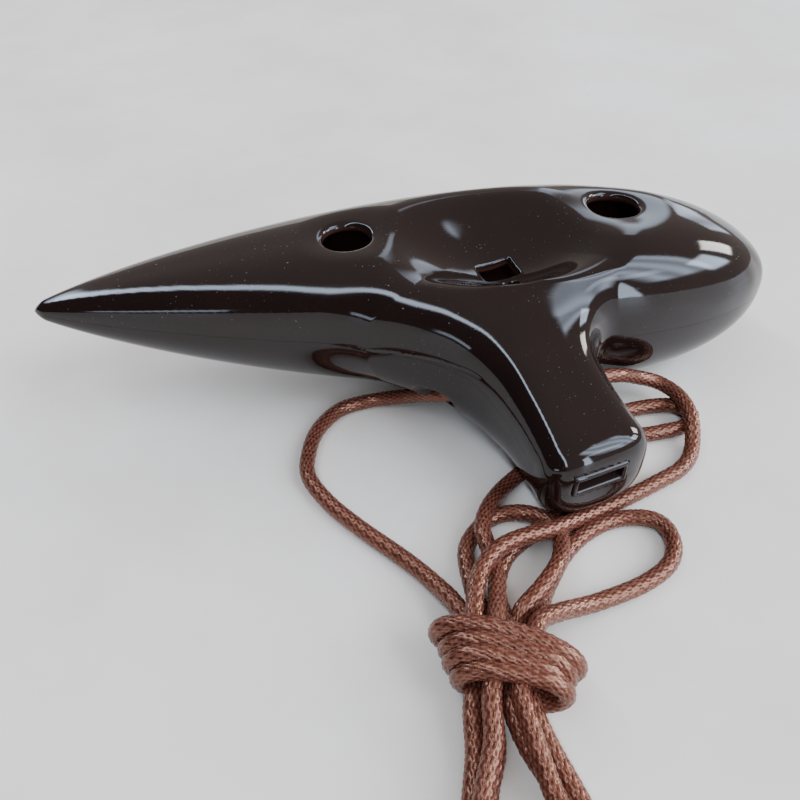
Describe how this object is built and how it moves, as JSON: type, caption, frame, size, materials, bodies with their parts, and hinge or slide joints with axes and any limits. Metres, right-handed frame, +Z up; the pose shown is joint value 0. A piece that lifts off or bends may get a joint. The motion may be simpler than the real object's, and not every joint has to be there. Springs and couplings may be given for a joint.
{
  "type": "transverse ocarina",
  "caption": "Glossy brown submarine-shaped ocarina with finger and thumb holes, a blowing neck and a braided neck cord folded and wrapped beside it.",
  "frame": {"origin": "on the small flat under the belly that the instrument rests on", "axes": "+X from the tail tip to the round head, -Y towards the mouthpiece, +Z up, with the thumb holes on top"},
  "size_m": [0.186, 0.1663, 0.0442],
  "materials": {
    "glossy_brown": "high gloss",
    "windway_brown": "gloss",
    "copper_cord": "satin braid"
  },
  "bodies": {
    "root": {"thumb_side_shell": "glossy_brown", "finger_side_shell": "glossy_brown", "windway_insert": "windway_brown", "cord_tail_side": "copper_cord", "cord_head_side": "copper_cord", "cord_mouth_bight": "copper_cord", "cord_small_bight": "copper_cord", "cord_side_bight": "copper_cord", "cord_wraps": "copper_cord", "cord_bundle": "copper_cord"}
  },
  "joints": []
}
